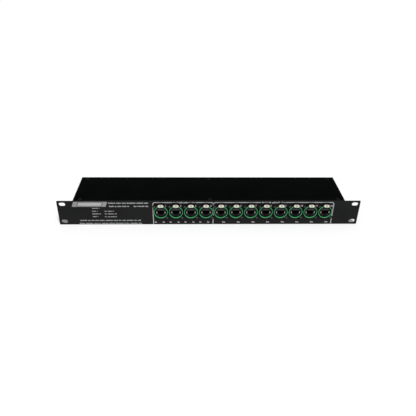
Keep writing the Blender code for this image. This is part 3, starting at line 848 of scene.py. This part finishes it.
def shell_mesh():
    """Flange with its ears and latch window, then the barrel and the latch housing behind it."""
    outline = flange_outline()
    window = rectangle(centred(2 * WINDOW_HALF_W), (WINDOW_FLOOR, WINDOW_TOP), WINDOW_R)
    holes = [window, *ear_holes(sides=24)]
    seat = circle((0, 0), SEAT_R, sides=96)
    bore = circle((0, 0), BORE_R, sides=96)
    front = plate([outline, seat, *holes], FLANGE_FRONT, SEAT_BACK, FLANGE_EDGE)
    back = plate([outline, bore, *holes], SEAT_BACK - FLANGE_EDGE, FLANGE_BACK, FLANGE_EDGE / 2)
    barrel = turned([
        (BORE_R + SEAM, SEAT_BACK),
        (BORE_R + SEAM, BARREL_BACK),
        (BARREL_R - BARREL_EDGE, BARREL_BACK),
        (BARREL_R, BARREL_BACK - BARREL_EDGE),
        (BARREL_R, SEAT_BACK),
    ], sides=96)
    housing = rectangle(
        centred(2 * HOUSING_HALF_W), (WINDOW_FLOOR - HOUSING_FOOT, HOUSING_TOP), HOUSING_WALL
    )
    cavity = rectangle(
        centred(2 * (WINDOW_HALF_W + SEAM)), (WINDOW_FLOOR - SEAM, WINDOW_TOP + SEAM), WINDOW_R
    )
    tube = plate([housing, cavity], FLANGE_BACK - FLANGE_EDGE, HOUSING_BACK, FLANGE_EDGE / 2)
    rim = HOUSING_WALL / 2
    plug = rectangle(centred(2 * (HOUSING_HALF_W - rim)), (WINDOW_FLOOR - rim, HOUSING_TOP - rim))
    closing = plate([plug], HOUSING_BACK - HOUSING_WALL, HOUSING_BACK - SEAM)
    return joined("receptacle_shell", [front, back, barrel, tube, closing])


def ring_mesh():
    """Band with rounded edges."""
    section = rectangle((RING_IN_R, RING_OUT_R), (RING_FRONT, RING_BACK), RING_EDGE, steps=4)
    return joined("colour_ring", [turned(section, sides=128)])


def pad_lean():
    """Where the thumb pad stands, leaning back."""
    return Matrix.Translation((0, PAD_DEPTH, PAD_Z)) @ Matrix.Rotation(-PAD_SLOPE, 4, "X")


def groove_outline(row, width):
    length = GROOVE_L - abs(row) * GROOVE_STEP
    middle = row * GROOVE_PITCH
    up = (middle - width / 2, middle + width / 2)
    return rectangle(centred(length), up, width * GROOVE_ROUND_SHARE, steps=3)


def grip_mesh():
    """Dark filling at the bottom of the pad's grooves, painted shade that darkens them."""
    front, back = GROOVE_DEPTH * GROOVE_SHADE_FACE_SHARE, GROOVE_DEPTH + GROOVE_SHADE_ROOT
    fillings = [
        plate([groove_outline(row, GROOVE_W - GROOVE_SHADE_GAP)], front, back)
        for row in GROOVE_ROWS
    ]
    return joined("latch_grip", [changed(filling, pad_lean()) for filling in fillings])


def latch_mesh():
    """Thumb pad with grooves that give a hold, then the stem, pin, arm and tooth behind it."""
    corners = [
        (-PAD_FOOT_W / 2, -PAD_L / 2),
        (PAD_FOOT_W / 2, -PAD_L / 2),
        (PAD_W / 2, PAD_BELLY),
        (PAD_TOP_W / 2, PAD_L / 2),
        (-PAD_TOP_W / 2, PAD_L / 2),
        (-PAD_W / 2, PAD_BELLY),
    ]
    outline = rounded(corners, PAD_CORNER_R)
    grooves = [groove_outline(row, GROOVE_W) for row in GROOVE_ROWS]
    face = plate([outline, *grooves], 0.0, PAD_T - GROOVE_SKIN, PAD_EDGE / 2)
    back = plate([outline], GROOVE_DEPTH, PAD_T, PAD_EDGE / 2)
    layer = (HINGE_Z - LATCH_T / 2, HINGE_Z + LATCH_T / 2)
    stem = (PAD_DEPTH + PAD_T / 2, HINGE_DEPTH)
    pin_ends = [(side * PIN_REACH, HINGE_DEPTH, HINGE_Z) for side in (-1, 1)]
    tooth = (ARM_END - TOOTH_T, ARM_END)
    return joined("release_latch", [
        changed(face, pad_lean()),
        changed(back, pad_lean()),
        block(centred(STEM_W), stem, layer, LATCH_EDGE),
        rod(PIN_R, *pin_ends, edge=PIN_EDGE),
        block(centred(ARM_W), (HINGE_DEPTH, ARM_END), layer, LATCH_EDGE),
        block(centred(TOOTH_W), tooth, (TOOTH_FOOT, HINGE_Z), LATCH_EDGE),
    ])


def nose_outline():
    """Octagon with eased corners."""
    half_w, half_h = NOSE_W / 2, NOSE_H / 2
    corners = [
        (-half_w + NOSE_CUT, -half_h),
        (half_w - NOSE_CUT, -half_h),
        (half_w, -half_h + NOSE_CUT),
        (half_w, half_h - NOSE_CUT),
        (half_w - NOSE_CUT, half_h),
        (-half_w + NOSE_CUT, half_h),
        (-half_w, half_h - NOSE_CUT),
        (-half_w, -half_h + NOSE_CUT),
    ]
    return rounded(corners, NOSE_R, steps=3)


def jack_outline():
    """RJ45 opening: a wide mouth with the clip's slot below it."""
    return [
        (-CLIP_W / 2, CLIP_BOTTOM),
        (CLIP_W / 2, CLIP_BOTTOM),
        (CLIP_W / 2, JACK_BOTTOM),
        (JACK_W / 2, JACK_BOTTOM),
        (JACK_W / 2, JACK_TOP),
        (-JACK_W / 2, JACK_TOP),
        (-JACK_W / 2, JACK_BOTTOM),
        (-CLIP_W / 2, JACK_BOTTOM),
    ]


def insert_mesh():
    """Nose with the opening, the wall that closes the opening, and the block behind both."""
    nose = plate([nose_outline(), jack_outline()], NOSE_FRONT, BLOCK_FRONT + NOSE_ROOT, NOSE_EDGE)
    wall_up = (CLIP_BOTTOM - BACK_WALL_FOOT, JACK_TOP + BACK_WALL_RIM)
    wall = block(centred(JACK_W + 2 * BACK_WALL_RIM), (JACK_BACK, BLOCK_FRONT), wall_up)
    rear = block(centred(BLOCK_W), (BLOCK_FRONT, BLOCK_BACK), centred(BLOCK_H), BLOCK_EDGE)
    return joined("jack_insert", [nose, wall, rear])


def lip_mesh():
    """Edge of the jack's metal shell above the opening."""
    depths = (NOSE_FRONT - LIP_PROUD, NOSE_FRONT + LIP_ROOT)
    return joined("jack_lip", [block(centred(LIP_W), depths, (LIP_BOTTOM, LIP_TOP), LIP_EDGE)])


def shield_mesh():
    """A pair of bowed spring strips, one on each side of the opening."""
    shapes = []
    for side in (-1, 1):
        shape = bmesh.new()
        rows = []
        for step in range(SHIELD_STEPS + 1):
            share = step / SHIELD_STEPS
            up = SHIELD_LOW + (SHIELD_HIGH - SHIELD_LOW) * share
            depth = NOSE_FRONT + SHIELD_ROOT - SHIELD_BULGE * math.sin(math.pi * share)
            rows.append([
                shape.verts.new((side * SHIELD_X + across, depth, up))
                for across in centred(SHIELD_W)
            ])
        for low, high in zip(rows, rows[1:]):
            shape.faces.new((low[0], low[1], high[1], high[0]))
        bmesh.ops.recalc_face_normals(shape, faces=shape.faces)
        bmesh.ops.solidify(shape, geom=shape.faces[:], thickness=SHIELD_T)
        shapes.append(shape)
    return joined("jack_shield", shapes)


def contact_mesh():
    """Row of spring wires that slope down from the top of the opening."""
    shapes = []
    for index in range(CONTACT_COUNT):
        across = (index - (CONTACT_COUNT - 1) / 2) * CONTACT_PITCH
        front = (across, NOSE_FRONT + CONTACT_FRONT, JACK_TOP - CONTACT_HIGH)
        back = (across, NOSE_FRONT + CONTACT_BACK, JACK_TOP - CONTACT_LOW)
        shapes.append(rod(CONTACT_T / 2, front, back, sides=8))
    return joined("jack_contacts", shapes)


def cross_outline(length, width):
    half_l, half_w = length / 2, width / 2
    return [
        (-half_w, -half_l), (half_w, -half_l), (half_w, -half_w), (half_l, -half_w),
        (half_l, half_w), (half_w, half_w), (half_w, half_l), (-half_w, half_l),
        (-half_w, half_w), (-half_l, half_w), (-half_l, -half_w), (-half_w, -half_w),
    ]


def recess_mesh():
    """Bare bottom of a screw's cross recess."""
    front = FLANGE_FRONT - FIXING_H + RECESS_DEPTH
    cross = cross_outline(CROSS_L - RECESS_GAP, CROSS_W - RECESS_GAP)
    return joined("fixing_recess", [plate([cross], front, front + CROSS_DEPTH)])


def fixing_mesh():
    """Pan head with a cross recess, its seat on the flange's ear."""
    top = FLANGE_FRONT - FIXING_H
    rim = circle((0, 0), FIXING_R, sides=48)
    cross = cross_outline(CROSS_L, CROSS_W)
    head = plate([rim, cross], top, FLANGE_FRONT + FIXING_ROOT, FIXING_EDGE)
    collar = turned([(FIXING_R + out, top + down) for out, down in COLLAR], sides=48)
    floor = turned([
        (0, top + CROSS_DEPTH),
        (FIXING_FLOOR_R, top + CROSS_DEPTH),
        (FIXING_FLOOR_R, FLANGE_FRONT),
        (0, FLANGE_FRONT),
    ], sides=24)
    shank = rod(SHANK_R, (0, FLANGE_FRONT, 0), (0, SHANK_BACK, 0), sides=16, edge=SHANK_EDGE)
    return joined("fixing_screw", [head, collar, floor, shank])


def add_ports():
    """Shell, ring, latch, insert and small metal of each port, with its two screws."""
    meshes = {
        "shell": (shell_mesh(), "receptacle_black", "receptacle_black"),
        "ring": (ring_mesh(), "ring_green", "ring_green"),
        "insert": (insert_mesh(), "jack_plastic", "jack_plastic"),
    }
    lip, shield, contacts = lip_mesh(), shield_mesh(), contact_mesh()
    latch, groove_shade, fixing, recess = latch_mesh(), grip_mesh(), fixing_mesh(), recess_mesh()
    for number in PORT_NUMBERS:
        port = f"port_{number:02d}"
        body = LATCH_BODY.format(number)
        middle = port_middle(number)
        for part, (mesh, finish_name, slot_name) in meshes.items():
            add_piece(f"{port}_{part}_fine", mesh, finish_name, place=middle,
                      replaces=[f"{port}_{part}"])
        add_piece(f"{port}_latch_fine", latch, "latch_nickel", body, middle,
                  [f"{port}_latch"])
        # Dark filling in the pad's grooves, painted shade
        add_piece(f"{port}_grip", groove_shade, "painted_groove_shade", body, middle)
        add_piece(f"{port}_lip", lip, "jack_lip", place=middle)
        add_piece(f"{port}_shield", shield, "jack_metal", place=middle)
        add_piece(f"{port}_contacts", contacts, "contact_gold", place=middle)
        for side, where in ((-1, "upper"), (1, "lower")):
            spot = middle + Vector((side * EAR_X, 0, -side * EAR_Z))
            add_piece(f"{port}_screw_{where}", fixing, "screw_black", place=spot)
            add_piece(f"{port}_recess_{where}", recess, "recess_steel", place=spot)


def ink(outlines):
    """Flat print standing just proud of the panel."""
    return plate(outlines, -INK_T, INK_ROOT)


def ribbon(points, width):
    """Outline of a line of even width along some points."""
    left, right = [], []
    for index, point in enumerate(points):
        point = Vector(point)
        before = Vector(points[max(index - 1, 0)])
        after = Vector(points[min(index + 1, len(points) - 1)])
        along = (after - before).normalized()
        aside = Vector((-along.y, along.x)) * width / 2
        left.append(tuple(point + aside))
        right.append(tuple(point - aside))
    return right + left[::-1]


def rule_corner(across, start_deg, end_deg):
    return arc((across, RULE_TOP - RULE_R), RULE_R, start_deg, end_deg, RULE_STEPS)


def group_rules():
    """Rules round the two groups: a left and a right frame that share their middle line."""
    foot = RULE_W / 2
    (left_gap, left_end), (right_gap, right_end) = HEADINGS
    lines = (
        [
            (RULE_LEFT, foot),
            *rule_corner(RULE_LEFT + RULE_R, 180, 90),
            (left_gap - HEADING_GAP, RULE_TOP),
        ],
        [
            (left_end + HEADING_GAP, RULE_TOP),
            *rule_corner(RULE_MIDDLE - RULE_R, 90, 0),
            (RULE_MIDDLE, foot),
        ],
        [
            *rule_corner(RULE_MIDDLE + RULE_R, 180, 90),
            (right_gap - HEADING_GAP, RULE_TOP),
        ],
        [
            (right_end + HEADING_GAP, RULE_TOP),
            *rule_corner(RULE_RIGHT - RULE_R, 90, 0),
            (RULE_RIGHT, foot),
        ],
    )
    return [ink([ribbon(points, RULE_W)]) for points in lines]


def word_bars(left, right, z, height, words):
    """A line of short bars, a word of so many bars at a time, over and over."""
    bars = []
    pitch = height * BAR_PITCH
    base = z - height / 2
    start = left
    word = 0
    while start + pitch / 2 < right:
        for letter in range(words[word % len(words)]):
            if start + pitch > right + pitch / 2:
                break
            tall = BAR_HEIGHTS[(letter + word) % len(BAR_HEIGHTS)]
            bars.append(rectangle((start, start + pitch * BAR_SHARE), (base, base + height * tall)))
            start += pitch
        start += WORD_GAP
        word += 1
    return ink(bars)


def number_shape(text):
    """A plain number, upright, with its middle at its own origin."""
    curve = bpy.data.curves.new("number", "FONT")
    curve.body = text
    curve.size = NUMBER_SIZE
    curve.offset = NUMBER_WEIGHT
    curve.resolution_u = NUMBER_STEPS
    curve.extrude = INK_T / 2
    curve.align_x = "CENTER"
    curve.align_y = "CENTER"
    return changed(shape_of(curve), Matrix.Translation((0, -INK_T / 2, 0)) @ UPRIGHT)


def port_numbers():
    """A number to the upper right of each port."""
    shapes = []
    for number in PORT_NUMBERS:
        text = str(number)
        across = port_middle(number).x + (NUMBER_X if len(text) == 1 else TWO_FIGURE_X)
        shapes.append(changed(number_shape(text), Matrix.Translation((across, 0, NUMBER_Z))))
    return shapes


def port_marks():
    """A pair of marks under each port of the first group, and one under each of the second."""
    shapes = []
    for number in PORT_NUMBERS:
        middle = port_middle(number)
        marks = INPUT_MARKS if number <= INPUT_PORTS else (OUTPUT_MARK,)
        for across, width in marks:
            left, right = middle.x + across - width / 2, middle.x + across + width / 2
            shapes.append(word_bars(left, right, MARK_Z, MARK_H, (MARK_BARS,)))
    return shapes


def slanted(across, inset):
    """A rectangle as high as the write-on plate less an inset, leaning to the right."""
    low, high = PLATE_Z
    straight = rectangle(across, (low + inset, high - inset), PLATE_CORNER_R, steps=3)
    return [(x + PLATE_SLANT * (z - (low + high) / 2), z) for x, z in straight]


def add_print():
    """Everything printed on the panel, and the write-on plate."""
    pieces = {
        "print_rules": group_rules(),
        "print_numbers": port_numbers(),
        "print_marks": port_marks(),
    }
    for name, lines in TEXT_LINES.items():
        pieces["print_" + name] = [word_bars(*line) for line in lines]
    for name, shapes in pieces.items():
        add_piece(name, joined(name, shapes), "panel_print")
    frame_x = (PLATE_FIELD_X[0] - PLATE_INSET, PLATE_FIELD_X[1] + PLATE_INSET)
    border = ink([slanted(PLATE_X, 0.0), slanted(frame_x, PLATE_INSET)])
    field = ink([slanted(PLATE_FIELD_X, PLATE_FIELD_INSET)])
    add_piece("write_on_border", joined("write_on_border", [border]), "plate_print")
    add_piece("write_on_field", joined("write_on_field", [field]), "panel_print")


def finish_cad_nodes():
    """The board and its screws stay as they are, with a fuller finish."""
    finishes = {
        "circuit_board": "board_green",
        "board_screw_left": "screw_black",
        "board_screw_right": "screw_black",
    }
    for node, finish_name in finishes.items():
        materials = frame["nodes"][node].data.materials
        materials.clear()
        materials.append(finish(finish_name))


def add_camera():
    cos_yaw, sin_yaw = math.cos(CAMERA_YAW), math.sin(CAMERA_YAW)
    cos_pitch, sin_pitch = math.cos(CAMERA_PITCH), math.sin(CAMERA_PITCH)
    forward = Vector((sin_yaw * cos_pitch, cos_yaw * cos_pitch, -sin_pitch))
    level = Vector((cos_yaw, -sin_yaw, 0.0))
    up = level.cross(forward)
    cos_roll, sin_roll = math.cos(CAMERA_ROLL), math.sin(CAMERA_ROLL)
    across = cos_roll * level + sin_roll * up
    upward = cos_roll * up - sin_roll * level
    turn = Matrix((across, upward, -forward)).transposed().to_4x4()
    lens = bpy.data.cameras.new("camera")
    lens.sensor_width = SENSOR_MM
    lens.lens = SENSOR_MM * FOCAL_PIXELS / IMAGE_PIXELS
    lens.clip_start = CLIP_START
    camera = bpy.data.objects.new("camera", lens)
    camera.matrix_world = Matrix.Translation(FACE + CAMERA_PLACE * MM) @ turn
    bpy.context.scene.collection.objects.link(camera)
    bpy.context.scene.camera = camera


def seen_or_mirrored(tree):
    """1 for rays from the camera and for those that metal or glass sends on, else 0."""
    path = add_node(tree, "ShaderNodeLightPath")
    either = add_node(tree, "ShaderNodeMath", operation="MAXIMUM")
    tree.links.new(path.outputs["Is Camera Ray"], either.inputs[0])
    tree.links.new(path.outputs["Is Glossy Ray"], either.inputs[1])
    both = add_node(tree, "ShaderNodeMath", operation="MAXIMUM")
    tree.links.new(either.outputs[0], both.inputs[0])
    tree.links.new(path.outputs["Is Transmission Ray"], both.inputs[1])
    return both.outputs[0]


def add_floor():
    """White floor that keeps the object's shadow and looks white to the camera."""
    shape = bmesh.new()
    bmesh.ops.create_grid(shape, x_segments=1, y_segments=1, size=FLOOR_SIZE / 2)
    mesh = bpy.data.meshes.new("floor")
    shape.to_mesh(mesh)
    shape.free()
    floor = bpy.data.objects.new("floor", mesh)
    floor.location.z = -FLOOR_DROP
    bpy.context.scene.collection.objects.link(floor)
    made = bpy.data.materials.new("floor_white")
    made.use_nodes = True
    tree = made.node_tree
    tree.nodes.clear()
    white = add_node(tree, "ShaderNodeBsdfDiffuse", Color=(*[FLOOR_WHITE] * 3, 1.0))
    glow = add_node(tree, "ShaderNodeEmission")
    amount = add_node(tree, "ShaderNodeMath", operation="MULTIPLY")
    amount.inputs[1].default_value = FLOOR_GLOW
    tree.links.new(seen_or_mirrored(tree), amount.inputs[0])
    tree.links.new(amount.outputs[0], glow.inputs["Strength"])
    both = add_node(tree, "ShaderNodeAddShader")
    tree.links.new(white.outputs[0], both.inputs[0])
    tree.links.new(glow.outputs[0], both.inputs[1])
    out = add_node(tree, "ShaderNodeOutputMaterial")
    tree.links.new(both.outputs[0], out.inputs["Surface"])
    mesh.materials.append(made)


def add_world():
    """Plain light from all round, in front of a white backdrop."""
    world = bpy.data.worlds.new("studio")
    bpy.context.scene.world = world
    world.use_nodes = True
    tree = world.node_tree
    background = tree.nodes["Background"]
    background.inputs["Color"].default_value = (1.0, 1.0, 1.0, 1.0)
    strength = add_node(tree, "ShaderNodeMapRange")
    strength.inputs["To Min"].default_value = SKY_LIGHT
    strength.inputs["To Max"].default_value = SKY_WHITE
    tree.links.new(seen_or_mirrored(tree), strength.inputs["Value"])
    tree.links.new(strength.outputs["Result"], background.inputs["Strength"])


def add_key_light():
    """Soft, even light from the front, high and a little to the right."""
    light = bpy.data.lights.new("key", "SUN")
    light.energy = SUN_LIGHT
    light.angle = SUN_SPREAD
    lamp = bpy.data.objects.new("key", light)
    level = math.cos(SUN_HEIGHT)
    across, ahead = -level * math.sin(SUN_SIDE), level * math.cos(SUN_SIDE)
    toward = Vector((across, ahead, -math.sin(SUN_HEIGHT)))
    lamp.rotation_euler = toward.to_track_quat("-Z", "Y").to_euler()
    lamp.location = -SUN_DISTANCE * toward
    lamp.visible_glossy = False
    bpy.context.scene.collection.objects.link(lamp)


add_camera()
add_front_panel()
add_tray()
add_cover()
add_cover_screws()
add_ports()
add_print()
finish_cad_nodes()
add_floor()
add_world()
add_key_light()
bpy.context.scene.view_settings.view_transform = "Standard"
